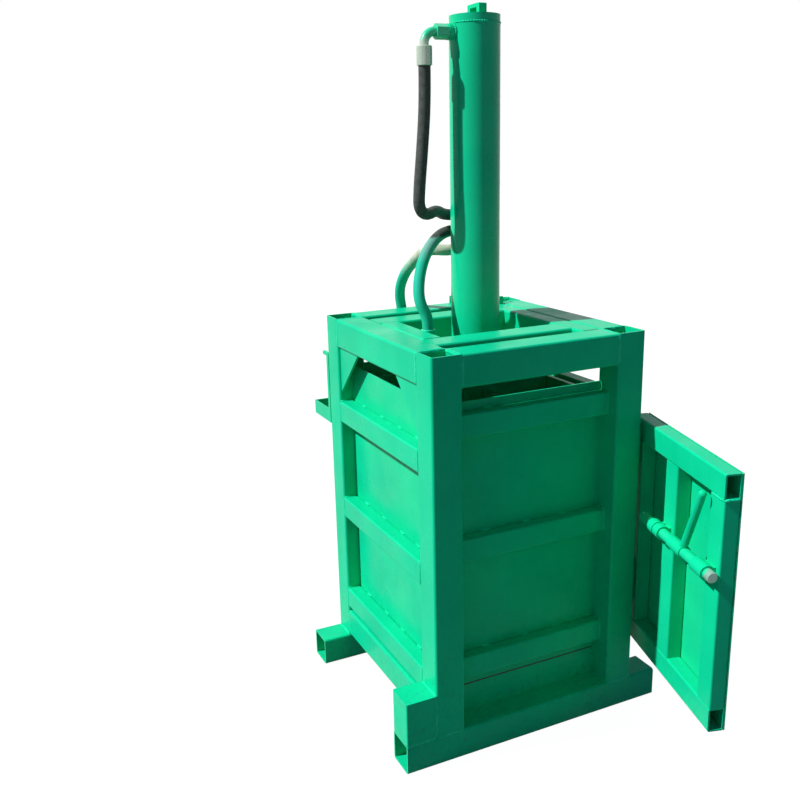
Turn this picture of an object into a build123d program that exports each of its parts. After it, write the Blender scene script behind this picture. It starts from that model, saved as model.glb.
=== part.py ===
from build123d import *
import math
import os

# Green vertical baling press: a welded box-section frame, one hydraulic cylinder
# standing on top, a platen inside, and a side-hung door with a sliding latch bar.
# All sizes are millimetres. +Z is up. The origin is on the press axis, on the floor.
# -X is the closed left face, -Y is the front face, +X is the door side.

# Frame
frame_width = 600.0
frame_depth = 650.0
frame_height = 1050.0
tube_size = 80.0
tube_wall = 5.0
tube_corner = 7.0
foot_overhang = 82.0
base_beam_width = 80.0

# Ribs and skins
rib_height = 60.0
rib_depth = 40.0
rib_wall = 4.0
rib_corner = 5.0
rib_recess = 36.0
left_top_rib_drop = 155.0
left_middle_rib_rise = 365.0
left_low_rib_rise = 75.0
front_top_rib_drop = 75.0
front_middle_rib_rise = 417.0
front_low_rib_rise = 95.0
skin = 4.0
window_height = 53.0
plinth_gap = 4.0
floor_thickness = 12.0
gusset_leg = 126.0
gusset_thickness = 6.0

# Top deck
front_slit = 42.0
cross_beam_depth = 80.0
left_bar_width = 55.0
right_bar_width = 55.0
head_plate_thickness = 25.0
head_plate_side_gap = 5.0
head_bore_gap = 0.5
deck_lug_place = (208.0, 222.0)
deck_lug_size = (24.0, 8.0, 22.0)
back_lug_x = 104.0

# Door side
header_height = 60.0
header_gap = 8.0
right_window_height = 90.0
door_floor_gap = 8.0
door_thickness = 40.0
door_side_gap = 5.0
stile_width = 60.0
door_tube_wall = 4.0
door_skin = 3.0
mid_stile_start = 198.0
door_open_angle = 196.0

# Door hinges
hinge_pin_offset = 18.0
hinge_pin_radius = 6.0
hinge_pin_gap = 0.1
hinge_pin_head = 4.0
hinge_pin_head_radius = 12.0
knuckle_radius = 14.0
knuckle_length = 30.0
knuckle_gap = 0.5
leaf_thickness = 8.0
leaf_width = 34.0
leaf_setback = 17.0
lower_hinge_rise = 120.0
upper_hinge_drop = 122.0

# Latch
latch_height = 578.0
latch_standoff = 20.0
latch_radius = 13.0
latch_gap = 0.3
latch_start = 130.0
latch_overhang = 11.0
latch_chamfer = 2.0
sleeve_radius = 18.0
left_sleeve_setback = 8.0
left_sleeve_length = 55.0
right_sleeve_setback = 6.0
right_sleeve_length = 53.0
sleeve_groove = 2.5
sleeve_pad_height = 12.0
hub_radius = 16.0
hub_gap = 57.0
hub_length = 65.0
lever_setback = 12.0
lever_radius = 9.5
lever_reach = 77.0
lever_rise = 170.0
keeper_start = 17.0
keeper_length = 38.0
keeper_gap = 1.5

# Hydraulic cylinder
barrel_radius = 63.5
bore_radius = 50.0
barrel_length = 869.0
bore_end_wall = 7.0
cap_radius = 63.0
cap_height = 19.0
flange_thickness = 25.0
flange_edge = 18.0
flange_bolt_count = 8
bolt_barrel_gap = 5.5
bolt_radius = 8.0
bolt_hole_gap = 0.5
bolt_head_radius = 13.0
bolt_head_height = 10.0
nut_height = 13.0
gland_insert = 65.0
gland_lip_radius = 60.0
gland_lip_height = 12.0
gland_gap = 0.2
rod_radius = 35.0
rod_gap = 0.3
piston_length = 60.0
piston_gap = 0.3
piston_head_gap = 37.0
seal_groove = 5.0
seal_width = 10.0
eye_offset = (8.0, 2.0)
eye_span = 58.0
eye_rise = 27.0
eye_leg = 13.0
eye_bridge = 9.0
eye_corner = 4.0
eye_depth = 21.0

# Platen
platen_side_gap = 21.0
platen_post_gap = 10.0
platen_gland_gap = 2.0
platen_height = 58.0
platen_plate = 18.0
platen_web = 12.0
boss_radius = 55.0
boss_rise = 18.0
rod_flange_radius = 52.0
rod_flange_height = 10.0

# Hydraulic fittings and hoses
hose_radius = 15.0
hose_bend_share = 0.45
ferrule_radius = 19.0
ferrule_length = 45.0
short_ferrule_length = 30.0
ferrule_chamfer = 1.5
elbow_radius = 11.0
elbow_bend = 28.0
tight_bend_gap = 1.0
port_boss_radius = 19.0
port_boss_length = 12.0
port_nut_radius = 18.5
port_nut_length = 34.0
top_port_drop = 20.0
top_elbow_reach = 139.0
top_elbow_drop = 33.0
lower_port_rise = 30.0
lower_elbow_reach = 141.0
lower_elbow_rise = 16.0
manifold_low = (42.0, 75.0, 1200.0)
manifold_high = (98.0, 130.0, 1360.0)
manifold_bracket_width = 16.0
manifold_bracket_height = 64.0
manifold_nut_length = 14.0
manifold_ferrule_length = 26.0
manifold_ports = ((108.0, 1326.0), (100.0, 1286.0), (116.0, 1232.0))
supply_x = -46.0
shelf_hole_setback = 29.0
shelf_hole_gap = 1.0
supply_rise = 41.0
shelf_drop = 45.0
shelf_thickness = 8.0
shelf_width = 60.0
shelf_reach = 60.0
shelf_weld = 45.0
coupling_length = 50.0

# Rear tray and its uprights, and the block on the front foot
tray_base = 731.0
tray_height = 40.0
tray_reach = 130.0
tray_wall = 4.0
upright_depth = 15.0
upright_thickness = 8.0
upright_drop = 110.0
upright_tab = 42.0
upright_tab_height = 10.0
riser_height = 117.0
riser_corner = 4.0

half_width = frame_width / 2
half_depth = frame_depth / 2
post_inner_x = half_width - tube_size
post_inner_y = half_depth - tube_size
rail_top = 2 * tube_size
floor_top = rail_top + floor_thickness
beam_base = frame_height - tube_size
panel_top = beam_base - window_height
panel_outer_x = half_width - rib_depth
panel_outer_y = post_inner_y + tube_corner + skin
front_rib_depth = half_depth - rib_recess - panel_outer_y
left_rib_tops = (beam_base - left_top_rib_drop, rail_top + left_middle_rib_rise, rail_top + left_low_rib_rise)
front_rib_tops = (beam_base - front_top_rib_drop, rail_top + front_middle_rib_rise, rail_top + front_low_rib_rise)

flange_bolt_radius = barrel_radius + bolt_barrel_gap + bolt_head_radius
flange_radius = flange_bolt_radius + flange_edge
flange_top = beam_base - head_plate_thickness
barrel_base = flange_top - flange_thickness
barrel_top = barrel_base + barrel_length
barrel_cap_top = barrel_top + cap_height
bore_top = barrel_top - bore_end_wall
piston_top = bore_top - piston_head_gap
boss_top = barrel_base - gland_lip_height - platen_gland_gap - rod_flange_height
platen_top = boss_top - boss_rise
platen_base = platen_top - platen_height
platen_half_x = panel_outer_x - skin - platen_side_gap
platen_half_y = post_inner_y - platen_post_gap

top_port_height = barrel_top - top_port_drop
lower_port_height = beam_base + lower_port_rise
top_ferrule_base = top_port_height - top_elbow_drop
top_exit = (-top_elbow_reach, 0.0, top_ferrule_base - ferrule_length)
lower_ferrule_base = lower_port_height + lower_elbow_rise
lower_exit = (-lower_elbow_reach, 0.0, lower_ferrule_base + short_ferrule_length)
manifold_face = manifold_low[0]
supply_y = half_depth + shelf_hole_setback
shelf_height = beam_base - shelf_drop
supply_end = shelf_height + supply_rise
upright_top = frame_height - upright_drop
riser_top = tube_size + riser_height

pin_x = half_width + hinge_pin_offset
pin_y = -post_inner_y
header_base = beam_base - right_window_height - header_height
door_start = pin_y + door_side_gap
door_width = 2 * post_inner_y - 2 * door_side_gap
door_bottom = floor_top + door_floor_gap
door_top = header_base - header_gap
hinge_heights = (door_bottom + lower_hinge_rise, door_top - upper_hinge_drop)
latch_end = door_width + latch_overhang
right_sleeve_end = door_width - stile_width - right_sleeve_setback + right_sleeve_length
left_sleeve_start = mid_stile_start - left_sleeve_setback
hub_end = door_width - stile_width - right_sleeve_setback - hub_gap

nodes = {}


def keep(name, shape):
    nodes[name] = shape


def block(low, high):
    """A plain block between two corners."""
    size = [b - a for a, b in zip(low, high)]
    middle = [(a + b) / 2 for a, b in zip(low, high)]
    return Pos(*middle) * Box(*size)


def tube(axis, low, high, wall=tube_wall, corner=tube_corner):
    """A rectangular tube with rounded edges that fills the box and is open along the axis."""
    size = [b - a for a, b in zip(low, high)]
    middle = [(a + b) / 2 for a, b in zip(low, high)]
    if axis == "X":
        plane = Plane(origin=(low[0], middle[1], middle[2]), x_dir=(0, 1, 0), z_dir=(1, 0, 0))
        across, up, length = size[1], size[2], size[0]
    elif axis == "Y":
        plane = Plane(origin=(middle[0], low[1], middle[2]), x_dir=(1, 0, 0), z_dir=(0, 1, 0))
        across, up, length = size[0], size[2], size[1]
    else:
        plane = Plane(origin=(middle[0], middle[1], low[2]))
        across, up, length = size[0], size[1], size[2]
    outline = RectangleRounded(across, up, corner)
    hollow = RectangleRounded(across - 2 * wall, up - 2 * wall, max(corner - wall, 0.5))
    return extrude(plane * (outline - hollow), length)


def rod(start, end, radius):
    """A round bar between two points."""
    line = Vector(*end) - Vector(*start)
    plane = Plane(origin=start, z_dir=tuple(line))
    return extrude(plane * Circle(radius), line.length)


def ring(start, end, outer, inner):
    """A round sleeve between two points."""
    line = Vector(*end) - Vector(*start)
    plane = Plane(origin=start, z_dir=tuple(line))
    return extrude(plane * (Circle(outer) - Circle(inner)), line.length)


def hex_bar(start, end, radius):
    """A hexagonal bar between two points, its radius to the corners."""
    line = Vector(*end) - Vector(*start)
    plane = Plane(origin=start, z_dir=tuple(line))
    return extrude(plane * RegularPolygon(radius, 6), line.length)


def base_frame():
    reach = half_width + foot_overhang
    front = tube("X", (-reach, -half_depth, 0), (reach, -post_inner_y, tube_size))
    front += block((-post_inner_x, -panel_outer_y, tube_size - tube_wall),
                   (post_inner_x, -panel_outer_y + skin, rail_top - plinth_gap))
    keep("front_foot", front)
    keep("rear_foot", tube("X", (-reach, post_inner_y, 0), (reach, half_depth, tube_size)))
    half_beam = base_beam_width / 2
    keep("base_beam", tube("Y", (-half_beam, -post_inner_y, 0), (half_beam, post_inner_y, rail_top)))
    for name, side in (("left_bottom_rail", -1), ("right_bottom_rail", 1)):
        low, high = sorted((side * post_inner_x, side * half_width))
        keep(name, tube("Y", (low, -post_inner_y, tube_size), (high, post_inner_y, rail_top)))
    floor = block((-panel_outer_x + skin, -post_inner_y, rail_top),
                  (panel_outer_x - door_skin, post_inner_y, floor_top))
    floor += block((-post_inner_x, skin - panel_outer_y, rail_top), (post_inner_x, panel_outer_y - skin, floor_top))
    keep("floor_plate", floor)


def posts():
    for y_name, y_side in (("front", -1), ("rear", 1)):
        for x_name, x_side in (("left", -1), ("right", 1)):
            x_low, x_high = sorted((x_side * post_inner_x, x_side * half_width))
            y_low, y_high = sorted((y_side * post_inner_y, y_side * half_depth))
            shape = tube("Z", (x_low, y_low, tube_size), (x_high, y_high, frame_height))
            keep(y_name + "_" + x_name + "_post", shape)


def corner_gusset(side):
    """A thin triangle plate in the angle between the left top beam and a post."""
    corner = side * post_inner_y
    outline = Polyline((corner, beam_base), (corner - side * gusset_leg, beam_base),
                       (corner, beam_base - gusset_leg), close=True)
    plane = Plane(origin=(-half_width + tube_corner, 0, 0), x_dir=(0, 1, 0), z_dir=(1, 0, 0))
    return extrude(plane * make_face(outline), gusset_thickness)


def supply_shelf():
    """The angle bracket behind the rear top beam that carries the supply coupling."""
    shelf_top = shelf_height + shelf_thickness
    low_x = supply_x - shelf_width / 2
    high_x = supply_x + shelf_width / 2
    shelf = block((low_x, half_depth, shelf_height), (high_x, half_depth + shelf_reach, shelf_top))
    shelf += block((low_x, half_depth, shelf_height),
                   (high_x, half_depth + shelf_thickness, beam_base + shelf_weld))
    return shelf - rod((supply_x, supply_y, 0), (supply_x, supply_y, frame_height), elbow_radius + shelf_hole_gap)


def standing_lug(x, y):
    """A small plate that stands on the deck, its foot centred on the point."""
    size_x, size_y, rise = deck_lug_size
    return block((x - size_x / 2, y - size_y / 2, frame_height - tube_wall),
                 (x + size_x / 2, y + size_y / 2, frame_height + rise))


def top_deck():
    left = tube("Y", (-half_width, -post_inner_y, beam_base), (-post_inner_x, post_inner_y, frame_height))
    keep("left_top_beam", left + corner_gusset(-1) + corner_gusset(1))
    keep("right_top_beam",
         tube("Y", (post_inner_x, -post_inner_y, beam_base), (half_width, post_inner_y, frame_height)))
    right_bar_start = post_inner_x - right_bar_width
    for name, side in (("front", -1), ("rear", 1)):
        low, high = sorted((side * post_inner_y, side * half_depth))
        beam = tube("X", (-post_inner_x, low, beam_base), (post_inner_x, high, frame_height))
        if side > 0:
            beam += supply_shelf() + standing_lug(back_lug_x, half_depth - tube_corner - deck_lug_size[1] / 2)
        keep(name + "_top_beam", beam)
        outer = post_inner_y - front_slit
        low, high = sorted((side * (outer - cross_beam_depth), side * outer))
        keep(name + "_cross_beam",
             tube("X", (-post_inner_x, low, beam_base), (right_bar_start, high, frame_height)))
    well = post_inner_y - front_slit - cross_beam_depth
    left_bar_end = -post_inner_x + left_bar_width
    keep("left_inner_bar",
         tube("Y", (-post_inner_x, -well, beam_base), (left_bar_end, well, frame_height)))
    inner_bar = tube("Y", (right_bar_start, -post_inner_y, beam_base), (post_inner_x, post_inner_y, frame_height))
    keep("right_inner_bar", inner_bar + standing_lug(*deck_lug_place))
    reach = post_inner_y - front_slit
    plate = block((left_bar_end + head_plate_side_gap, -reach, flange_top),
                  (right_bar_start - head_plate_side_gap, reach, beam_base))
    plate -= rod((0, 0, beam_base - 2 * head_plate_thickness), (0, 0, frame_height),
                 barrel_radius + head_bore_gap)
    for spot in flange_bolt_spots():
        plate -= rod((*spot, barrel_base), (*spot, frame_height), bolt_radius + bolt_hole_gap)
    keep("head_plate", plate)


def left_side():
    keep("left_panel", block((-panel_outer_x, -post_inner_y, rail_top),
                             (-panel_outer_x + skin, post_inner_y, panel_top)))
    for number, top in enumerate(left_rib_tops, 1):
        low = (-half_width, -post_inner_y, top - rib_height)
        high = (-panel_outer_x, post_inner_y, top)
        keep("left_rib_" + str(number), tube("Y", low, high, rib_wall, rib_corner))


def front_and_rear():
    inner = panel_outer_y - skin
    keep("front_panel", block((-post_inner_x, -panel_outer_y, rail_top),
                              (post_inner_x, -inner, panel_top)))
    for number, top in enumerate(front_rib_tops, 1):
        low = (-post_inner_x, -panel_outer_y - front_rib_depth, top - rib_height)
        high = (post_inner_x, -panel_outer_y, top)
        keep("front_rib_" + str(number), tube("X", low, high, rib_wall, rib_corner))
    rear = block((-post_inner_x, inner, tube_size), (post_inner_x, panel_outer_y, panel_top))
    for top in front_rib_tops:
        low = (-post_inner_x, panel_outer_y, top - rib_height)
        high = (post_inner_x, panel_outer_y + front_rib_depth, top)
        rear += tube("X", low, high, rib_wall, rib_corner)
    keep("rear_panel", rear)


def door_surround():
    low = (panel_outer_x, -post_inner_y, header_base)
    high = (half_width, post_inner_y, header_base + header_height)
    keep("door_header", tube("Y", low, high, rib_wall, rib_corner))


def rear_fittings():
    low = (-half_width, half_depth, tray_base)
    high = (half_width, half_depth + tray_reach, tray_base + tray_height)
    inner_low = (-half_width + tray_wall, half_depth + tray_wall, tray_base + tray_wall)
    inner_high = (half_width - tray_wall, half_depth + tray_reach - tray_wall, tray_base + 2 * tray_height)
    tray = block(low, high) - block(inner_low, inner_high)
    for side in (-1, 1):
        x_low, x_high = sorted((side * (half_width - upright_thickness), side * half_width))
        base = tray_base + tray_height
        bar = block((x_low, half_depth, base), (x_high, half_depth + upright_depth, upright_top))
        bar += block((x_low, half_depth, upright_top - upright_tab_height),
                     (x_high, half_depth + upright_tab, upright_top))
        tray += bar
    keep("rear_tray", tray)
    reach = half_width + foot_overhang
    riser = block((-reach, -half_depth, tube_size), (-half_width, -post_inner_y, riser_top))
    riser = fillet(riser.edges().filter_by(Axis.Z), riser_corner)
    riser -= block((tube_wall - reach, tube_wall - half_depth, tube_size),
                   (-half_width - tube_wall, -post_inner_y - tube_wall, riser_top - tube_wall))
    keep("front_left_riser", riser)


def flange_bolt_spots():
    turn = 2 * math.pi / flange_bolt_count
    angles = [turn * (index + 0.5) for index in range(flange_bolt_count)]
    return [(flange_bolt_radius * math.cos(a), flange_bolt_radius * math.sin(a)) for a in angles]


def cylinder():
    barrel = rod((0, 0, barrel_base), (0, 0, barrel_top), barrel_radius)
    barrel += rod((0, 0, barrel_top), (0, 0, barrel_cap_top), cap_radius)
    barrel += rod((0, 0, barrel_base), (0, 0, flange_top), flange_radius)
    for height in (top_port_height, lower_port_height):
        barrel += rod((0, 0, height), (-barrel_radius - port_boss_length, 0, height), port_boss_radius)
    bracket_middle = (manifold_low[2] + manifold_high[2]) / 2
    bracket_low = (manifold_face, 0, bracket_middle - manifold_bracket_height / 2)
    bracket_high = (manifold_face + manifold_bracket_width, manifold_low[1],
                    bracket_middle + manifold_bracket_height / 2)
    barrel += block(bracket_low, bracket_high)
    barrel -= rod((0, 0, 0), (0, 0, bore_top), bore_radius)
    for height in (top_port_height, lower_port_height):
        barrel -= rod((0, 0, height), (-barrel_radius, 0, height), elbow_radius / 2)
    for spot in flange_bolt_spots():
        barrel -= rod((*spot, 0), (*spot, flange_top + 1), bolt_radius + bolt_hole_gap)
    keep("cylinder_barrel", barrel)
    bolts = []
    for spot in flange_bolt_spots():
        bolt = rod((*spot, barrel_base), (*spot, beam_base), bolt_radius)
        bolt += hex_bar((*spot, barrel_base - bolt_head_height), (*spot, barrel_base), bolt_head_radius)
        bolt += hex_bar((*spot, beam_base), (*spot, beam_base + nut_height), bolt_head_radius)
        bolts.append(bolt)
    keep("flange_bolts", Compound(children=bolts))
    gland = rod((0, 0, barrel_base), (0, 0, barrel_base + gland_insert), bore_radius - gland_gap)
    gland += rod((0, 0, barrel_base - gland_lip_height), (0, 0, barrel_base), gland_lip_radius)
    gland -= rod((0, 0, 0), (0, 0, barrel_top), rod_radius + rod_gap)
    keep("cylinder_gland", gland)


def lifting_eye():
    """A square bar bent to a flat-topped loop and welded across the cap."""
    outline = Pos(0, eye_rise / 2) * Rectangle(eye_span, eye_rise)
    outline = fillet(outline.vertices().group_by(Axis.Y)[-1], eye_corner)
    hollow_rise = eye_rise - eye_bridge
    outline -= Pos(0, hollow_rise / 2) * Rectangle(eye_span - 2 * eye_leg, hollow_rise)
    start = (eye_offset[0] - eye_depth / 2, eye_offset[1], barrel_cap_top)
    plane = Plane(origin=start, x_dir=(0, 1, 0), z_dir=(1, 0, 0))
    keep("lifting_eye", extrude(plane * outline, eye_depth))


def ram():
    piston = rod((0, 0, piston_top - piston_length), (0, 0, piston_top), bore_radius - piston_gap)
    groove_middle = piston_top - piston_length / 2
    groove_low = groove_middle - seal_width / 2
    groove_high = groove_middle + seal_width / 2
    groove_floor = bore_radius - piston_gap - seal_groove
    piston -= ring((0, 0, groove_low), (0, 0, groove_high), bore_radius, groove_floor)
    keep("piston", piston)
    keep("piston_seal", ring((0, 0, groove_low), (0, 0, groove_high), bore_radius - piston_gap, groove_floor))
    stem = rod((0, 0, boss_top), (0, 0, piston_top - piston_length), rod_radius)
    stem += rod((0, 0, boss_top), (0, 0, boss_top + rod_flange_height), rod_flange_radius)
    keep("piston_rod", stem)
    outer = block((-platen_half_x, -platen_half_y, platen_base), (platen_half_x, platen_half_y, platen_top))
    pocket = block((-platen_half_x + platen_web, -platen_half_y + platen_web, platen_base + platen_plate),
                   (platen_half_x - platen_web, platen_half_y - platen_web, platen_top))
    web_x = block((-platen_half_x, -platen_web / 2, platen_base), (platen_half_x, platen_web / 2, platen_top))
    web_y = block((-platen_web / 2, -platen_half_y, platen_base), (platen_web / 2, platen_half_y, platen_top))
    boss = rod((0, 0, platen_base), (0, 0, boss_top), boss_radius)
    keep("platen", outer - pocket + web_x + web_y + boss)


def on_door(shape):
    """Swings a closed-door shape round the hinge pins to its open rest place."""
    return shape.rotate(Axis((pin_x, pin_y, 0), (0, 0, 1)), -door_open_angle)


def door_tube(axis, start, end, low_z, high_z):
    low = (half_width - door_thickness, door_start + start, low_z)
    high = (half_width, door_start + end, high_z)
    return tube(axis, low, high, door_tube_wall, rib_corner)


def door():
    rail_low = door_bottom + stile_width
    rail_high = door_top - stile_width
    keep("door_bottom_rail", on_door(door_tube("Y", 0, door_width, door_bottom, rail_low)))
    keep("door_top_rail", on_door(door_tube("Y", 0, door_width, rail_high, door_top)))
    starts = (("door_hinge_stile", 0), ("door_mid_stile", mid_stile_start),
              ("door_free_stile", door_width - stile_width))
    for name, start in starts:
        keep(name, on_door(door_tube("Z", start, start + stile_width, rail_low, rail_high)))
    inner = half_width - door_thickness
    keep("door_panel", on_door(block((inner - door_skin, door_start, door_bottom),
                                     (inner, door_start + door_width, door_top))))


def hinge_leaf(side, height):
    """One hinge leaf with its knuckles, side -1 on the post and 1 on the door, in the closed place."""
    total = 3 * knuckle_length
    low_y, high_y = sorted((pin_y + side * leaf_setback, pin_y + side * (leaf_setback + leaf_width)))
    leaf = block((half_width, low_y, height), (half_width + leaf_thickness, high_y, height + total))
    if side > 0:
        spans = [(knuckle_length, 2 * knuckle_length)]
    else:
        spans = [(0, knuckle_length - knuckle_gap), (2 * knuckle_length + knuckle_gap, total)]
    arm_low, arm_high = sorted((pin_y, pin_y + side * leaf_setback))
    for low, high in spans:
        leaf += block((half_width, arm_low, height + low), (half_width + leaf_thickness, arm_high, height + high))
        leaf += rod((pin_x, pin_y, height + low), (pin_x, pin_y, height + high), knuckle_radius)
    return leaf - rod((pin_x, pin_y, height - 1), (pin_x, pin_y, height + total + 1),
                      hinge_pin_radius + hinge_pin_gap)


def hinges():
    keep("post_hinge_leaves", Compound(children=[hinge_leaf(-1, height) for height in hinge_heights]))
    keep("door_hinge_leaves", Compound(children=[on_door(hinge_leaf(1, height)) for height in hinge_heights]))
    pins = []
    for height in hinge_heights:
        top = height + 3 * knuckle_length
        pin = rod((pin_x, pin_y, height), (pin_x, pin_y, top), hinge_pin_radius)
        pin += rod((pin_x, pin_y, top), (pin_x, pin_y, top + hinge_pin_head), hinge_pin_head_radius)
        pins.append(pin)
    keep("hinge_pins", Compound(children=pins))


def latch_point(distance):
    """A point on the latch bar's axis, at a distance from the door's hinge edge."""
    return (half_width + latch_standoff, door_start + distance, latch_height)


def latch_sleeve(start, end, bore, pad_start):
    sleeve = rod(latch_point(start), latch_point(end), sleeve_radius)
    pad_low = (half_width, door_start + pad_start, latch_height - sleeve_pad_height)
    pad_high = (half_width + latch_standoff / 2, door_start + end, latch_height + sleeve_pad_height)
    sleeve += block(pad_low, pad_high)
    return sleeve - rod(latch_point(start - 1), latch_point(end + 1), bore)


def latch_keeper():
    """The socket on the rear post that the latch bar slides into when the door is shut."""
    axis_x = half_width + latch_standoff
    low_y = post_inner_y + keeper_start
    high_y = low_y + keeper_length
    keeper = rod((axis_x, low_y, latch_height), (axis_x, high_y, latch_height), sleeve_radius)
    keeper += block((half_width, low_y, latch_height - sleeve_pad_height),
                    (half_width + latch_standoff / 2, high_y, latch_height + sleeve_pad_height))
    return keeper - rod((axis_x, low_y - 1, latch_height), (axis_x, high_y + 1, latch_height),
                        latch_radius + keeper_gap)


def latch():
    bore = latch_radius + latch_gap
    left_end = left_sleeve_start + left_sleeve_length
    left = latch_sleeve(left_sleeve_start, left_end, bore, mid_stile_start + rib_corner)
    groove_middle = left_sleeve_start + left_sleeve_length / 2
    left -= ring(latch_point(groove_middle - sleeve_groove), latch_point(groove_middle + sleeve_groove),
                 2 * sleeve_radius, sleeve_radius - sleeve_groove)
    right_start = right_sleeve_end - right_sleeve_length
    right = latch_sleeve(right_start, right_sleeve_end, bore, right_start + right_sleeve_setback + rib_corner)
    keep("latch_sleeves", on_door(Compound(children=[left, right])))
    bar = rod(latch_point(latch_start), latch_point(latch_end), latch_radius)
    bar = chamfer(bar.edges().filter_by(GeomType.CIRCLE), latch_chamfer)
    keep("latch_bar", on_door(bar))
    hub_start = hub_end - hub_length
    hub = ring(latch_point(hub_start), latch_point(hub_end), hub_radius, bore)
    foot = latch_point(hub_end - lever_setback)
    tip = (foot[0], foot[1] + lever_reach, foot[2] + lever_rise)
    handle = rod(foot, tip, lever_radius) + Pos(*tip) * Sphere(lever_radius)
    handle -= rod(latch_point(hub_start), latch_point(hub_end + hub_length), (hub_radius + bore) / 2)
    keep("latch_lever", on_door(hub + handle))
    keep("latch_keeper", latch_keeper())


def elbow(port_height, bottom, exit_x):
    """A port elbow: its hex nut on the boss, then a bend from -X down to the hose end."""
    start = -barrel_radius - port_boss_length
    shape = hex_bar((start, 0, port_height), (start - port_nut_length, 0, port_height), port_nut_radius)
    path = FilletPolyline((start, 0, port_height), (exit_x, 0, port_height), (exit_x, 0, bottom),
                          radius=elbow_bend)
    bend = sweep(Plane(origin=(start, 0, port_height), z_dir=(-1, 0, 0)) * Circle(elbow_radius), path=path)
    return shape + bend


def ferrule(start, end):
    """The crimped steel collar on a hose end."""
    shape = rod(start, end, ferrule_radius)
    return chamfer(shape.edges().filter_by(GeomType.CIRCLE), ferrule_chamfer)


def fittings():
    keep("top_elbow", elbow(top_port_height, top_ferrule_base, top_exit[0]))
    keep("lower_elbow", lower_elbow(lower_ferrule_base))
    ferrules = [ferrule((top_exit[0], 0, top_ferrule_base), top_exit),
                ferrule((lower_exit[0], 0, lower_ferrule_base), lower_exit)]
    manifold = block(manifold_low, manifold_high)
    ferrule_start = manifold_face - manifold_nut_length
    hose_start = ferrule_start - manifold_ferrule_length
    for y, z in manifold_ports:
        manifold += hex_bar((manifold_face, y, z), (ferrule_start, y, z), port_nut_radius)
        ferrules.append(ferrule((ferrule_start, y, z), (hose_start, y, z)))
    keep("hose_manifold", manifold)
    ferrules.append(ferrule((supply_x, supply_y, supply_end - short_ferrule_length),
                            (supply_x, supply_y, supply_end)))
    coupling = rod((supply_x, supply_y, shelf_height - coupling_length),
                   (supply_x, supply_y, supply_end - short_ferrule_length), elbow_radius)
    coupling += hex_bar((supply_x, supply_y, shelf_height - nut_height),
                        (supply_x, supply_y, shelf_height), port_nut_radius)
    keep("supply_coupling", coupling)
    keep("hose_ferrules", Compound(children=ferrules))


def lower_elbow(top):
    """The lower port's elbow: its hex nut on the boss, then a bend from -X up to the hose end."""
    start = -barrel_radius - port_boss_length
    shape = hex_bar((start, 0, lower_port_height), (start - port_boss_length, 0, lower_port_height), port_nut_radius)
    path = FilletPolyline((start, 0, lower_port_height), (lower_exit[0], 0, lower_port_height),
                          (lower_exit[0], 0, top), radius=elbow_radius + tight_bend_gap)
    profile = Plane(origin=(start, 0, lower_port_height), z_dir=(-1, 0, 0)) * Circle(elbow_radius)
    return shape + sweep(profile, path=path)


def hose(name, route):
    """A hose along its route, with each bend as large as its two runs allow."""
    points = [Vector(*point) for point in route]
    runs = [b - a for a, b in zip(points, points[1:])]
    radii = []
    for before, after in zip(runs, runs[1:]):
        turn = math.radians(before.get_angle(after))
        radii.append(hose_bend_share * min(before.length, after.length) / math.tan(turn / 2))
    path = FilletPolyline(*points, radius=radii)
    shape = sweep(Plane(origin=points[0], z_dir=tuple(runs[0])) * Circle(hose_radius), path=path)
    expected = math.pi * hose_radius ** 2 * path.length
    print(name, "length", round(path.length, 1), "radii", [round(r) for r in radii],
          "volume share", round(shape.volume / expected, 4))
    keep(name, shape)


hose_start_x = manifold_face - manifold_nut_length - manifold_ferrule_length
top_hose_route = [
    top_exit,
    (-139.0, 0.0, 1610.0),
    (-148.0, 1.0, 1500.0),
    (-160.0, -1.0, 1398.0),
    (-158.0, 6.0, 1352.0),
    (-126.0, 28.0, 1334.0),
    (-78.0, 66.0, 1344.0),
    (-32.0, 108.0, 1326.0),
    (hose_start_x, 108.0, 1326.0),
]
lower_hose_route = [
    (hose_start_x, 100.0, 1286.0),
    (-30.0, 100.0, 1286.0),
    (-78.0, 78.0, 1268.0),
    (-122.0, 54.0, 1228.0),
    (-152.0, 28.0, 1172.0),
    (-162.0, 8.0, 1118.0),
    (-141.0, 0.0, 1078.0),
    lower_exit,
]
supply_hose_route = [
    (hose_start_x, 116.0, 1232.0),
    (-27.0, 116.0, 1232.0),
    (-53.0, 132.0, 1235.0),
    (-64.0, 172.0, 1227.0),
    (-66.0, 224.0, 1198.0),
    (-68.0, 288.0, 1156.0),
    (-62.0, 344.0, 1096.0),
    (supply_x, supply_y, 1026.0),
    (supply_x, supply_y, supply_end),
]

base_frame()
posts()
top_deck()
left_side()
front_and_rear()
door_surround()
rear_fittings()
cylinder()
lifting_eye()
ram()
door()
hinges()
latch()
fittings()
hose("top_hose", top_hose_route)
hose("lower_hose", lower_hose_route)
hose("supply_hose", supply_hose_route)

os.makedirs("parts", exist_ok=True)
for node, solid in nodes.items():
    export_step(solid, os.path.join("parts", node + ".step"))
print(len(nodes), "nodes")
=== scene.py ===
import math
import random

import bmesh
import bpy
from mathutils import Matrix, Vector


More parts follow.
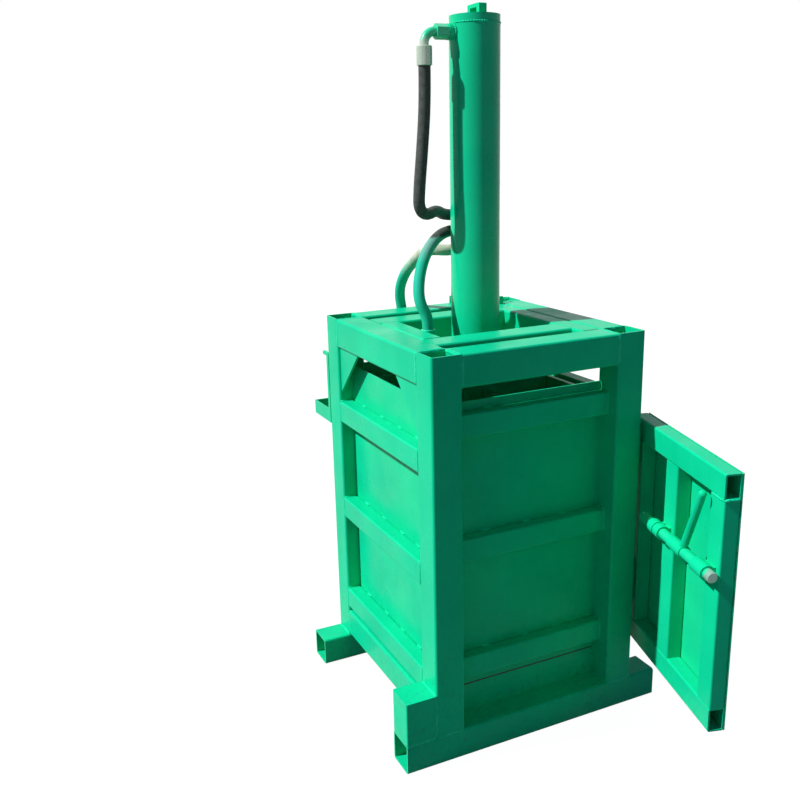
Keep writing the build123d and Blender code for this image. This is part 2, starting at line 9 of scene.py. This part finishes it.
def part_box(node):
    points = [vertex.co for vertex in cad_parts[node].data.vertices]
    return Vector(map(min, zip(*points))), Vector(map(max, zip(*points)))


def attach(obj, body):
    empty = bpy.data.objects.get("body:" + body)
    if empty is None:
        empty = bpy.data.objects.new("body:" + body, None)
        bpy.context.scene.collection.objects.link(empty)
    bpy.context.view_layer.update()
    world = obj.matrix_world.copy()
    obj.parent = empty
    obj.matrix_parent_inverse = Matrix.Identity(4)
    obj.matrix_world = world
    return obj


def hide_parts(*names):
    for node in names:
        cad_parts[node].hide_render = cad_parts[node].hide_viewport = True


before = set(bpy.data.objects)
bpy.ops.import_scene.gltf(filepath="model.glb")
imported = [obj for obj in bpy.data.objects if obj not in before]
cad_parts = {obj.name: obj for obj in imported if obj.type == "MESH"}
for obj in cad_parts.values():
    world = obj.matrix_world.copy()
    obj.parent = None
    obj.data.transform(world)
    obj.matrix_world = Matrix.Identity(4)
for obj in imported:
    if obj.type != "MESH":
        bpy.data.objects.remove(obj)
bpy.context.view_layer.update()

# A green vertical hydraulic baling press in plain studio light.
# Everything is in metres: -X the closed left face, -Y the front face, +X the door side.
# Colours are linear.

random.seed(7)

# Camera, from a fit of the photograph's straight edges, with its angles in degrees
IMAGE_SIDE = 800
FOCAL_PIXELS = 909.448
SENSOR = 36.0
CLIP_END = 100
CAMERA_PLACE = (-1.1926, -2.0762, 1.4955)
CAMERA_AZIMUTH = 24.947
CAMERA_DOWN = 15.340
CAMERA_ROLL = -1.4705

# Light and ground
SUN_TRAVEL = (1.0, -0.22, -1.05)
SUN_STRENGTH = 4.75
SUN_SOFTNESS = math.radians(1.2)
SKY = (0.06, 0.115, 0.185, 1)
WHITE = (1, 1, 1, 1)
FLOOR_HALF = 30.0
FLOOR_ROUGHNESS = 0.9
FLOOR_GLOW = 0.98
FLOOR_SEEN = (0.025, 0.025, 0.025, 1)
FLOOR_BOUNCE = (0.15, 0.16, 0.15, 1)

# Paint
GREEN = (0.004, 0.63, 0.31)
GREEN_DEEP = (0.002, 0.54, 0.27)
GREEN_DUSTY = (0.012, 0.60, 0.26)
# Paler green, for runs and weld tone, and on outer edges, where it is partly wear and partly painted
# highlight
GREEN_PALE = (0.02, 0.72, 0.42)
CHIP = (0.55, 0.62, 0.55)
SPATTER = (0.02, 0.36, 0.20)
PAINT_GLOSS = 0.05
BARREL_GLOSS = 0.12
RUNS_COVER = 0.10
EDGE_WEAR_AND_HIGHLIGHT_COVER = 0.55
CHIP_COVER = 0.6
SPATTER_COVER = 0.38
SPATTER_HEIGHTS = (0.42, 0.12)
SPATTER_WANDER = 0.05
RUNS_STRETCH = (14, 14, 1.2)
PAINT_SHEEN = (-0.06, 0.14)
EDGE_RADIUS = 0.003
EDGE_SAMPLES = 4
EDGE_LEAN = (0.03, 0.22)
WELD_ROUGHNESS = 0.34

# Bare metal, and the places between which it turns to paint
TURNED_STEEL = (0.42, 0.42, 0.41)
CHROME = (0.78, 0.78, 0.80)
ZINC = (0.56, 0.68, 0.54)
BAR_END = (0.34, 0.55, 0.46)
DARKER = 0.72
BARE_METALLIC = 0.2
METAL_SHEEN = (-0.07, 0.1)
TURNED_GRAIN = (1, 1, 30)
PLATED_GRAIN = (12, 12, 1)
FERRULE_PAINT = (1.5, 1.3)
ELBOW_PAINT = (1.742, 1.758)
BAR_END_PAINT = (-0.706, -0.700)
PAINT_WANDER = 0.004

# Noise patterns: scale, detail, the level where each starts and the level where it is full
NOISE_ROUGHNESS = 0.55
CLOUDS = (4.5, 4, 0.35, 0.68)
DUST = (2.2, 3, 0.42, 0.66)
RUNS = (3.0, 3, 0.5, 0.8)
# Edge patches: partly wear, partly painted highlight
EDGE_WEAR_AND_HIGHLIGHT = (38.0, 5, 0.42, 0.62)
SPECKS = (120.0, 2, 0.76, 0.775)
CHIPPED = (5.0, 2, 0.56, 0.62)
SPOTS = (85.0, 3, 0.56, 0.66)
PAINT_SMEARS = (11.0, 4, 0.3, 0.7)
WELD_TONE = (60, 3, 0.4, 0.7)
METAL_TONE = (24, 4, 0.3, 0.7)
METAL_SMEARS = (55, 4, 0.3, 0.7)
HOSE_TONE = (70, 4, 0.3, 0.7)
BORDER = (30, 3, 0.3, 0.7)

# Bumps: scale, detail, depth and strength
PANEL_WAVE = (5.0, 2, 0.010, 1.0)
ORANGE_PEEL = (230.0, 2, 0.0006, 0.35)
WELD_GRAIN = (420, 2, 0.0005, 0.5)
METAL_GRAIN = (300, 3, 0.0003, 0.4)
HOSE_GRAIN = (350, 3, 0.0004, 0.4)

# Hoses: the routes of the part, and the heights at which overspray starts and covers
HOSE_DIAMETER = 0.030
HOSE_BLACK = (0.062, 0.070, 0.062)
HOSE_TAN = (0.40, 0.42, 0.33)
HOSE_MIST = (0.02, 0.50, 0.32)
HOSE_PALE = (0.17, 0.42, 0.34)
HOSE_ROUGHNESS = 0.5
HOSE_LIGHTER = 1.7
HOSE_LIFT = 0.004
WRAP_SCALE = 95.0
WRAP_WANDER = 1.2
WRAP_DEPTH = (0.0005, 0.35)
MIST_WANDER = 0.006
LOWER_MIST = ((1.277, 1.270, HOSE_PALE), (1.250, 1.215, HOSE_MIST))
SUPPLY_MIST = ((1.215, 1.150, HOSE_MIST),)
TOP_ROUTE = [
    (-0.139, 0.0, 1.691), (-0.139, 0.0, 1.610), (-0.148, 0.001, 1.500), (-0.160, -0.001, 1.398),
    (-0.158, 0.006, 1.352), (-0.126, 0.028, 1.334), (-0.078, 0.066, 1.344), (-0.032, 0.108, 1.326),
    (0.002, 0.108, 1.326),
]
LOWER_ROUTE = [
    (0.002, 0.100, 1.286), (-0.030, 0.100, 1.286), (-0.078, 0.078, 1.268), (-0.122, 0.054, 1.228),
    (-0.152, 0.028, 1.172), (-0.162, 0.008, 1.118), (-0.141, 0.0, 1.078), (-0.141, 0.0, 1.046),
]
SUPPLY_ROUTE = [
    (0.002, 0.116, 1.232), (-0.027, 0.116, 1.232), (-0.053, 0.132, 1.235), (-0.064, 0.172, 1.227),
    (-0.066, 0.224, 1.198), (-0.068, 0.288, 1.156), (-0.062, 0.344, 1.096), (-0.046, 0.354, 1.026),
    (-0.046, 0.354, 0.966),
]

# Weld beads: radii, how far a bead is sunk behind the face it runs on, and its ripples
POST_BEAD = 0.006
POST_SIDE_BEAD = 0.0035
RIB_BEAD = 0.003
RISER_BEAD = 0.005
# The bead in the gap above the front foot is black, as painted shadow
SHADOW_SEAM_BEAD = 0.0028
DOOR_END_BEAD = 0.0035
DOOR_FACE_BEAD = 0.0022
POST_SUNK = 0.005
RIB_SUNK = 0.002
RISER_SUNK = 0.004
BEAD_STEP = 0.0035
BEAD_SIDES = 7
BEAD_TIP = 0.3
BEAD_TAPER = 6
BEAD_RIPPLE = 0.16
BEAD_UNEVEN = (-0.10, 0.12)
BEAD_DRIFT = 0.1
STITCH_BEAD = 0.0026
STITCH_LENGTH = 0.026
STITCH_PITCH = 0.11
STITCH_WANDER = 0.012

# Round welds on the cylinder: where each ring lies, its radius and its bead
CAP_SEAM = 1.789
CAP_RING = 0.0628
CAP_BEAD = 0.0019
TOP_PORT = 1.769
PORT_FACE = -0.0620
PORT_RING = 0.0195
PORT_BEAD = 0.0024
PORT_STEPS = 30
BARREL_RING = 0.0645
BARREL_BEAD = 0.004

# The open door: the direction from its hinge to its free edge, its rail's depth and its stile's width
DOOR_ALONG = (-0.2756, -0.9613, 0)
DOOR_DEPTH = 0.040
STILE_WIDTH = 0.057

# Tie wire: two strands round one another, on the deck
WIRE_START = (0.222, 0.236, 1.0565)
WIRE_REACH = 0.030
WIRE_RISE = 0.005
WIRE_SWAY = 0.004
WIRE_SWAY_RATE = 7
WIRE_COIL = 0.0045
WIRE_RADIUS = 0.0009
WIRE_TURNS = 5
WIRE_POINTS = 46


# Camera, light and ground

def place_camera():
    camera = bpy.data.objects.new("camera", bpy.data.cameras.new("camera"))
    bpy.context.scene.collection.objects.link(camera)
    camera.data.sensor_width = SENSOR
    camera.data.lens = FOCAL_PIXELS * SENSOR / IMAGE_SIDE
    camera.data.clip_end = CLIP_END
    azimuth = math.radians(CAMERA_AZIMUTH)
    down = math.radians(CAMERA_DOWN)
    level = math.cos(down)
    forward = Vector((math.sin(azimuth) * level, math.cos(azimuth) * level, -math.sin(down)))
    turn = forward.to_track_quat("-Z", "Y").to_matrix()
    roll = Matrix.Rotation(math.radians(CAMERA_ROLL), 3, "Z")
    camera.matrix_world = Matrix.Translation(CAMERA_PLACE) @ (turn @ roll).to_4x4()
    bpy.context.scene.camera = camera


def place_lights():
    lamp = bpy.data.lights.new("key", "SUN")
    lamp.energy = SUN_STRENGTH
    lamp.angle = SUN_SOFTNESS
    key = bpy.data.objects.new("key", lamp)
    bpy.context.scene.collection.objects.link(key)
    key.rotation_euler = Vector(SUN_TRAVEL).to_track_quat("-Z", "Y").to_euler()


def seen_ray(tree):
    """1 for what the camera sees, straight or in a glossy or clear surface, 0 for light that bounces."""
    path = tree.nodes.new("ShaderNodeLightPath").outputs
    direct = math_node(tree, "MAXIMUM", path["Is Camera Ray"], path["Is Glossy Ray"])
    return math_node(tree, "MAXIMUM", direct, path["Is Transmission Ray"])


def place_world():
    world = bpy.data.worlds.new("studio")
    bpy.context.scene.world = world
    world.use_nodes = True
    tree = world.node_tree
    background = tree.nodes["Background"]
    tree.links.new(mix_colour(tree, seen_ray(tree), SKY, WHITE), background.inputs["Color"])


def place_floor():
    """A wide floor that looks white, with only a trace of the shadow, and throws a dim light."""
    mesh = bpy.data.meshes.new("floor")
    corners = [(x * FLOOR_HALF, y * FLOOR_HALF, 0) for x, y in ((-1, -1), (1, -1), (1, 1), (-1, 1))]
    mesh.from_pydata(corners, [], [(0, 1, 2, 3)])
    floor = bpy.data.objects.new("floor", mesh)
    bpy.context.scene.collection.objects.link(floor)
    material, tree, shader = new_material("floor")
    shader.inputs["Roughness"].default_value = FLOOR_ROUGHNESS
    seen = seen_ray(tree)
    tree.links.new(mix_colour(tree, seen, FLOOR_BOUNCE, FLOOR_SEEN), shader.inputs["Base Color"])
    shader.inputs["Emission Color"].default_value = WHITE
    tree.links.new(math_node(tree, "MULTIPLY", seen, FLOOR_GLOW), shader.inputs["Emission Strength"])
    mesh.materials.append(material)


# Shader helpers

def new_material(name):
    material = bpy.data.materials.new(name)
    material.use_nodes = True
    tree = material.node_tree
    return material, tree, tree.nodes["Principled BSDF"]


def feed(tree, sockets, values):
    """Link or set each socket, as its value is another node's output or a plain value."""
    for socket, value in zip(sockets, values):
        if isinstance(value, bpy.types.NodeSocket):
            tree.links.new(value, socket)
        else:
            socket.default_value = value


def math_node(tree, operation, *values):
    node = tree.nodes.new("ShaderNodeMath")
    node.operation = operation
    feed(tree, node.inputs, values)
    return node.outputs[0]


def mix_colour(tree, factor, first, second):
    """The first colour at factor 0, the second at 1. A mix node's colours are its inputs 6 and 7."""
    node = tree.nodes.new("ShaderNodeMix")
    node.data_type = "RGBA"
    feed(tree, (node.inputs[0], node.inputs[6], node.inputs[7]), (factor, first, second))
    return node.outputs[2]


def coat(tree, under, over, mask, cover):
    """One colour over another where the mask is high, up to the share that cover says."""
    return mix_colour(tree, math_node(tree, "MULTIPLY", mask, cover), under, (*over, 1))


def place_of(tree, scale=(1, 1, 1)):
    coordinate = tree.nodes.new("ShaderNodeTexCoord")
    mapping = tree.nodes.new("ShaderNodeMapping")
    mapping.inputs["Scale"].default_value = scale
    tree.links.new(coordinate.outputs["Object"], mapping.inputs["Vector"])
    return mapping.outputs["Vector"]


def noise(tree, place, scale, detail):
    node = tree.nodes.new("ShaderNodeTexNoise")
    node.inputs["Scale"].default_value = scale
    node.inputs["Detail"].default_value = detail
    node.inputs["Roughness"].default_value = NOISE_ROUGHNESS
    tree.links.new(place, node.inputs["Vector"])
    return node.outputs["Fac"]


def ramp(tree, value, low, high, low_to=0.0, high_to=1.0):
    node = tree.nodes.new("ShaderNodeMapRange")
    node.inputs["From Min"].default_value = low
    node.inputs["From Max"].default_value = high
    node.inputs["To Min"].default_value = low_to
    node.inputs["To Max"].default_value = high_to
    tree.links.new(value, node.inputs["Value"])
    return node.outputs["Result"]


def patches(tree, place, scale, detail, low, high, low_to=0.0, high_to=1.0):
    """Noise cut to a range, from low_to where it is under low to high_to where it is over high."""
    return ramp(tree, noise(tree, place, scale, detail), low, high, low_to, high_to)


def bump(tree, height, depth, strength, normal=None):
    node = tree.nodes.new("ShaderNodeBump")
    node.inputs["Distance"].default_value = depth
    node.inputs["Strength"].default_value = strength
    tree.links.new(height, node.inputs["Height"])
    if normal is not None:
        tree.links.new(normal, node.inputs["Normal"])
    return node.outputs["Normal"]


def grain(tree, place, scale, detail, depth, strength, normal=None):
    """A bump from noise, over an earlier bump where there is one."""
    return bump(tree, noise(tree, place, scale, detail), depth, strength, normal)


def along_axis(tree, place, axis, wander):
    """The place along one axis, made uneven by up to wander."""
    split = tree.nodes.new("ShaderNodeSeparateXYZ")
    tree.links.new(place, split.inputs[0])
    shift = patches(tree, place, *BORDER, -wander, wander)
    return math_node(tree, "ADD", split.outputs[axis], shift)


def edge_mask(tree):
    """High on outer edges: how far a rounded normal leans from the true one."""
    round_normal = tree.nodes.new("ShaderNodeBevel")
    round_normal.samples = EDGE_SAMPLES
    round_normal.inputs["Radius"].default_value = EDGE_RADIUS
    geometry = tree.nodes.new("ShaderNodeNewGeometry")
    dot = tree.nodes.new("ShaderNodeVectorMath")
    dot.operation = "DOT_PRODUCT"
    tree.links.new(round_normal.outputs["Normal"], dot.inputs[0])
    tree.links.new(geometry.outputs["Normal"], dot.inputs[1])
    return math_node(tree, "SUBTRACT", 1.0, dot.outputs["Value"])


# Materials

def green_paint(name, wavy=False, shine=0.30, dusty=0.12, gloss=PAINT_GLOSS):
    """Sprayed enamel: cloudy cover, dust, faint runs, lighter edges that are partly wear and partly painted
    highlight, a few chips and spatter near the floor.
    """
    material, tree, shader = new_material(name)
    place = place_of(tree)
    clouds = patches(tree, place, *CLOUDS)
    colour = mix_colour(tree, clouds, (*GREEN_DEEP, 1), (*GREEN, 1))
    colour = coat(tree, colour, GREEN_DUSTY, patches(tree, place, *DUST), dusty)
    runs = patches(tree, place_of(tree, RUNS_STRETCH), *RUNS)
    colour = coat(tree, colour, GREEN_PALE, runs, RUNS_COVER)
    # Lighter outer edges: partly wear, partly a painted highlight along the rounded edges
    edges = ramp(tree, edge_mask(tree), *EDGE_LEAN)
    worn_and_highlit = math_node(tree, "MULTIPLY", edges, patches(tree, place, *EDGE_WEAR_AND_HIGHLIGHT))
    colour = coat(tree, colour, GREEN_PALE, worn_and_highlit, EDGE_WEAR_AND_HIGHLIGHT_COVER)
    specks = patches(tree, place, *SPECKS)
    chips = math_node(tree, "MULTIPLY", specks, patches(tree, place, *CHIPPED))
    colour = coat(tree, colour, CHIP, chips, CHIP_COVER)
    low = ramp(tree, along_axis(tree, place, "Z", SPATTER_WANDER), *SPATTER_HEIGHTS)
    spatter = math_node(tree, "MULTIPLY", low, patches(tree, place, *SPOTS))
    colour = coat(tree, colour, SPATTER, spatter, SPATTER_COVER)
    tree.links.new(colour, shader.inputs["Base Color"])
    rough = patches(tree, place, *PAINT_SMEARS, *(shine + change for change in PAINT_SHEEN))
    tree.links.new(rough, shader.inputs["Roughness"])
    shader.inputs["Specular IOR Level"].default_value = gloss
    normal = grain(tree, place, *PANEL_WAVE) if wavy else None
    normal = grain(tree, place, *ORANGE_PEEL, normal)
    tree.links.new(normal, shader.inputs["Normal"])
    return material


def weld_paint():
    """The same enamel over weld metal: ripples catch the light and the cover is a little thin."""
    material, tree, shader = new_material("weld_paint")
    place = place_of(tree)
    colour = mix_colour(tree, patches(tree, place, *WELD_TONE), (*GREEN, 1), (*GREEN_PALE, 1))
    tree.links.new(colour, shader.inputs["Base Color"])
    shader.inputs["Roughness"].default_value = WELD_ROUGHNESS
    shader.inputs["Specular IOR Level"].default_value = PAINT_GLOSS
    tree.links.new(grain(tree, place, *WELD_GRAIN), shader.inputs["Normal"])
    return material


def bare_metal(name, colour, roughness, painted=None, axis="Z", brushed=TURNED_GRAIN):
    """Plated or turned steel. It is bare at the first place in painted, and under paint at the second."""
    material, tree, shader = new_material(name)
    place = place_of(tree)
    tone = patches(tree, place_of(tree, brushed), *METAL_TONE)
    dark = tuple(DARKER * c for c in colour)
    surface = mix_colour(tree, tone, (*dark, 1), (*colour, 1))
    if painted is None:
        shader.inputs["Metallic"].default_value = 1.0
    else:
        paint = ramp(tree, along_axis(tree, place, axis, PAINT_WANDER), *painted)
        surface = mix_colour(tree, paint, surface, (*GREEN, 1))
        bare = math_node(tree, "MULTIPLY_ADD", paint, -BARE_METALLIC, BARE_METALLIC)
        tree.links.new(bare, shader.inputs["Metallic"])
    tree.links.new(surface, shader.inputs["Base Color"])
    rough = patches(tree, place, *METAL_SMEARS, *(roughness + change for change in METAL_SHEEN))
    tree.links.new(rough, shader.inputs["Roughness"])
    tree.links.new(grain(tree, place, *METAL_GRAIN), shader.inputs["Normal"])
    return material


def hose_rubber(name, colour, *coats):
    """Wrapped hose. Each coat is (height where it starts, height where it covers, its colour)."""
    material, tree, shader = new_material(name)
    place = place_of(tree)
    tone = patches(tree, place, *HOSE_TONE)
    light = tuple(min(1.0, HOSE_LIGHTER * c + HOSE_LIFT) for c in colour)
    surface = mix_colour(tree, tone, (*colour, 1), (*light, 1))
    for starts, covers, mist in coats:
        cover = ramp(tree, along_axis(tree, place, "Z", MIST_WANDER), starts, covers)
        surface = mix_colour(tree, cover, surface, (*mist, 1))
    tree.links.new(surface, shader.inputs["Base Color"])
    shader.inputs["Roughness"].default_value = HOSE_ROUGHNESS
    shader.inputs["Specular IOR Level"].default_value = PAINT_GLOSS
    wrap = tree.nodes.new("ShaderNodeTexWave")
    wrap.inputs["Scale"].default_value = WRAP_SCALE
    wrap.inputs["Distortion"].default_value = WRAP_WANDER
    wrap.bands_direction = "Z"
    tree.links.new(place, wrap.inputs["Vector"])
    normal = bump(tree, wrap.outputs["Fac"], *WRAP_DEPTH)
    normal = grain(tree, place, *HOSE_GRAIN, normal)
    tree.links.new(normal, shader.inputs["Normal"])
    return material


def dress_nodes():
    paint = green_paint("green_paint")
    sheet = green_paint("green_sheet", wavy=True, shine=0.26, dusty=0.6)
    steel = bare_metal("turned_steel", TURNED_STEEL, roughness=0.34)
    zinc = bare_metal("zinc_plate", ZINC, roughness=0.30, painted=FERRULE_PAINT, brushed=PLATED_GRAIN)
    rubber = hose_rubber("black_rubber_and_painted_shadow", HOSE_BLACK)
    sheets = ("left_panel", "front_panel", "rear_panel", "door_panel", "floor_plate")
    special = {
        "cylinder_barrel": green_paint("green_barrel", shine=0.22, gloss=BARREL_GLOSS),
        "piston_rod": bare_metal("chrome_rod", CHROME, roughness=0.12),
        "top_elbow": bare_metal("zinc_elbow", ZINC, roughness=0.30, painted=ELBOW_PAINT),
        "latch_bar": bare_metal("worn_bar_end", BAR_END, roughness=0.4, painted=BAR_END_PAINT, axis="Y"),
        "piston": steel, "flange_bolts": steel, "hose_ferrules": zinc, "supply_coupling": zinc,
        "piston_seal": rubber, "top_hose": rubber, "lower_hose": rubber, "supply_hose": rubber,
    }
    for name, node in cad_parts.items():
        node.data.materials.clear()
        node.data.materials.append(special.get(name, sheet if name in sheets else paint))


# Pieces

def add_piece(name, data, material, body):
    """Put a mesh or a curve in the scene, on its body and in its slot."""
    data.materials.append(material)
    piece = bpy.data.objects.new(name, data)
    bpy.context.scene.collection.objects.link(piece)
    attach(piece, body)
    return piece


def round_curve(name, lines, radius, rounding, smoothing):
    """A curve of round section through each line of points."""
    curve = bpy.data.curves.new(name, "CURVE")
    curve.dimensions = "3D"
    for line in lines:
        spline = curve.splines.new("NURBS")
        spline.points.add(len(line) - 1)
        for point, place in zip(spline.points, line):
            point.co = (*place, 1)
        spline.order_u = 3
        spline.use_endpoint_u = True
        spline.resolution_u = smoothing
    curve.bevel_depth = radius
    curve.bevel_resolution = rounding
    return curve


def hose(name, route, material):
    curve = round_curve(name, [route], HOSE_DIAMETER / 2, rounding=6, smoothing=12)
    curve.use_fill_caps = True
    piece = add_piece(name + "_look", curve, material, "frame")
    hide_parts(name)
    return piece


def hoses():
    top = hose("top_hose", TOP_ROUTE, hose_rubber("hose_black", HOSE_BLACK))
    lower = hose("lower_hose", LOWER_ROUTE, hose_rubber("hose_misted", HOSE_BLACK, *LOWER_MIST))
    supply = hose("supply_hose", SUPPLY_ROUTE, hose_rubber("hose_dusty", HOSE_TAN, *SUPPLY_MIST))


def tie_wire():
    """A twist of thin wire left on the deck beside the rear right corner."""
    lines = []
    for twist in (0.0, math.pi):
        line = []
        for index in range(WIRE_POINTS):
            share = index / (WIRE_POINTS - 1)
            angle = 2 * math.pi * WIRE_TURNS * share + twist
            sway = WIRE_SWAY * math.sin(WIRE_SWAY_RATE * share)
            line.append((WIRE_START[0] + WIRE_REACH * share,
                         WIRE_START[1] + sway + WIRE_COIL * math.cos(angle),
                         WIRE_START[2] + WIRE_COIL * math.sin(angle) + WIRE_RISE * share))
        lines.append(line)
    curve = round_curve("tie_wire", lines, WIRE_RADIUS, rounding=2, smoothing=4)
    add_piece("tie_wire", curve, bpy.data.materials["weld_paint"], "frame")


# Welds

def add_bead(build, start, end, radius, taper_ends=True):
    """One weld bead: a lumpy string of small ripples from start to end."""
    start = Vector(start)
    end = Vector(end)
    line = end - start
    count = max(2, int(line.length / BEAD_STEP))
    along = line.normalized()
    side = along.orthogonal().normalized()
    up = along.cross(side)
    rings = []
    for index in range(count + 1):
        share = index / count
        to_end = min(share, 1 - share)
        taper = min(1.0, BEAD_TAPER * to_end + BEAD_TIP) if taper_ends else 1.0
        size = radius * taper * (1.0 + BEAD_RIPPLE * (index % 2) + random.uniform(*BEAD_UNEVEN))
        centre = start + line * share + side * random.uniform(-BEAD_DRIFT, BEAD_DRIFT) * radius
        ring = []
        for corner in range(BEAD_SIDES):
            angle = 2 * math.pi * corner / BEAD_SIDES
            ring.append(build.verts.new(centre + (side * math.cos(angle) + up * math.sin(angle)) * size))
        rings.append(ring)
    for first, second in zip(rings, rings[1:]):
        for corner in range(BEAD_SIDES):
            following = (corner + 1) % BEAD_SIDES
            build.faces.new((first[corner], first[following], second[following], second[corner]))
    build.faces.new(list(reversed(rings[0])))
    build.faces.new(rings[-1])


def post_seams():
    """The joints of the posts with the top beams and the bottom rails, as (start, end, radius)."""
    (_, front, _), (inner_x, inner_y, top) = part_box("front_left_post")
    right, rear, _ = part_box("rear_right_post")[1]
    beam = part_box("front_top_beam")[0][2]
    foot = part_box("rear_foot")[1][2]
    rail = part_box("left_bottom_rail")[1][2]
    crown = top - POST_SUNK
    seams = []
    for side in (-1, 1):
        x = -side * inner_x
        for face, inward in ((front, 1), (rear, -1)):
            sunk = face + inward * POST_SUNK
            back = face + inward * abs(front - inner_y)
            seams.append(((x, sunk, beam), (x, sunk, top), POST_BEAD))
            seams.append(((x, face, crown), (x, back, crown), POST_BEAD))
        for y in (inner_y, -inner_y):
            face = side * right
            sunk = face - side * POST_SUNK
            seams.append(((sunk, y, beam), (sunk, y, top), POST_BEAD))
            seams.append(((face, y, crown), (x, y, crown), POST_BEAD))
            seams.append(((sunk, y, foot), (sunk, y, rail), POST_BEAD))
    return seams


def rib_seams():
    """Fillet welds where the ribs meet the posts, and stitches where they meet the panels."""
    seams = []
    for name in ("front_rib_1", "front_rib_2", "front_rib_3"):
        low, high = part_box(name)
        for x in (low[0], high[0]):
            seams.append(((x, low[1], low[2]), (x, low[1], high[2]), RIB_BEAD))
            seams.append(((x, low[1], high[2]), (x, high[1], high[2]), RIB_BEAD))
        seams += stitches((low[0], high[1], high[2]), high)
    for name in ("left_rib_1", "left_rib_2", "left_rib_3"):
        low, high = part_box(name)
        sunk = low[0] + RIB_SUNK
        for y in (low[1], high[1]):
            seams.append(((sunk, y, low[2]), (sunk, y, high[2]), RIB_BEAD))
            seams.append(((low[0], y, high[2]), (high[0], y, high[2]), RIB_BEAD))
        seams += stitches((high[0], low[1], high[2]), high)
    return seams


def stitches(start, end):
    """Short beads at roughly even steps along a line."""
    start = Vector(start)
    line = Vector(end) - start
    along = line.normalized()
    count = int(line.length / STITCH_PITCH)
    first = (line.length - (count - 1) * STITCH_PITCH - STITCH_LENGTH) / 2
    seams = []
    for index in range(count):
        place = first + index * STITCH_PITCH + random.uniform(-STITCH_WANDER, STITCH_WANDER)
        seams.append((start + along * place, start + along * (place + STITCH_LENGTH), STITCH_BEAD))
    return seams


def base_seams():
    """The feet of the posts and the block on the front foot."""
    seams = []
    for name in ("front_left_post", "front_right_post", "rear_left_post", "rear_right_post"):
        low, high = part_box(name)
        sunk = low[1] + POST_SUNK if low[1] < 0 else high[1] - POST_SUNK
        seams.append(((low[0], sunk, low[2]), (high[0], sunk, low[2]), POST_BEAD))
        for x in (low[0], high[0]):
            ends = (low[1] + POST_BEAD, high[1] - POST_BEAD)
            seams.append(((x, ends[0], low[2]), (x, ends[1], low[2]), POST_SIDE_BEAD))
    low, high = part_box("front_left_riser")
    foot = low[1] + POST_SUNK
    side = low[1] + RISER_SUNK
    seams.append(((low[0], foot, low[2]), (high[0], foot, low[2]), POST_BEAD))
    seams.append(((high[0], side, low[2]), (high[0], side, high[2]), RISER_BEAD))
    seams.append(((high[0], low[1], high[2]), high, RIB_BEAD))
    return seams


def painted_shadow_seams():
    """Painted shadow: a black bead in the gap between the front panel and the foot, where there is only
    shade.
    """
    low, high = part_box("front_panel")
    sill = (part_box("front_foot")[1][2] + low[2]) / 2
    middle = (low[1] + high[1]) / 2
    return [((low[0], middle, sill), (high[0], middle, sill), SHADOW_SEAM_BEAD)]


def door_seams():
    """The joints of the door's frame: at the open end of its top rail and over its face."""
    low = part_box("door_top_rail")[0]
    near = Vector((low[0], low[1] - DOOR_DEPTH * DOOR_ALONG[0], low[2]))
    far = Vector((low[0] - DOOR_DEPTH * DOOR_ALONG[1], low[1], low[2]))
    inner = near - Vector(DOOR_ALONG) * STILE_WIDTH
    return [(near, far, DOOR_END_BEAD), (near, inner, DOOR_FACE_BEAD)]


def round_seam(centre, axis, ring_radius, bead, steps=60):
    """A bead round a pipe, as a ring of points and the bead's radius."""
    axis = Vector(axis).normalized()
    side = axis.orthogonal().normalized()
    up = axis.cross(side)
    points = []
    for index in range(steps + 1):
        angle = 2 * math.pi * index / steps
        points.append(Vector(centre) + (side * math.cos(angle) + up * math.sin(angle)) * ring_radius)
    return points, bead


def lay_beads(name, seams, rings, material, body):
    build = bmesh.new()
    for start, end, radius in seams:
        add_bead(build, start, end, radius)
    for points, radius in rings:
        for start, end in zip(points, points[1:]):
            add_bead(build, start, end, radius, taper_ends=False)
    mesh = bpy.data.meshes.new(name)
    build.to_mesh(mesh)
    build.free()
    for polygon in mesh.polygons:
        polygon.use_smooth = True
    add_piece(name, mesh, material, body)


def weld_everything():
    paint = weld_paint()
    head_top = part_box("head_plate")[1][2]
    rings = [
        round_seam((0, 0, CAP_SEAM), (0, 0, 1), CAP_RING, CAP_BEAD),
        round_seam((PORT_FACE, 0, TOP_PORT), (1, 0, 0), PORT_RING, PORT_BEAD, PORT_STEPS),
        round_seam((0, 0, head_top), (0, 0, 1), BARREL_RING, BARREL_BEAD),
    ]
    lay_beads("frame_welds", post_seams() + rib_seams() + base_seams(), rings, paint, "frame")
    # The black bead in the gap above the front foot is painted shadow: the gap itself is only shade.
    lay_beads("painted_shadow_seam", painted_shadow_seams(), [], bpy.data.materials["black_rubber_and_painted_shadow"], "frame")
    lay_beads("door_welds", door_seams(), [], paint, "door")


bpy.context.scene.view_settings.view_transform = "Standard"
place_camera()
place_lights()
place_world()
place_floor()
dress_nodes()
hoses()
weld_everything()
tie_wire()
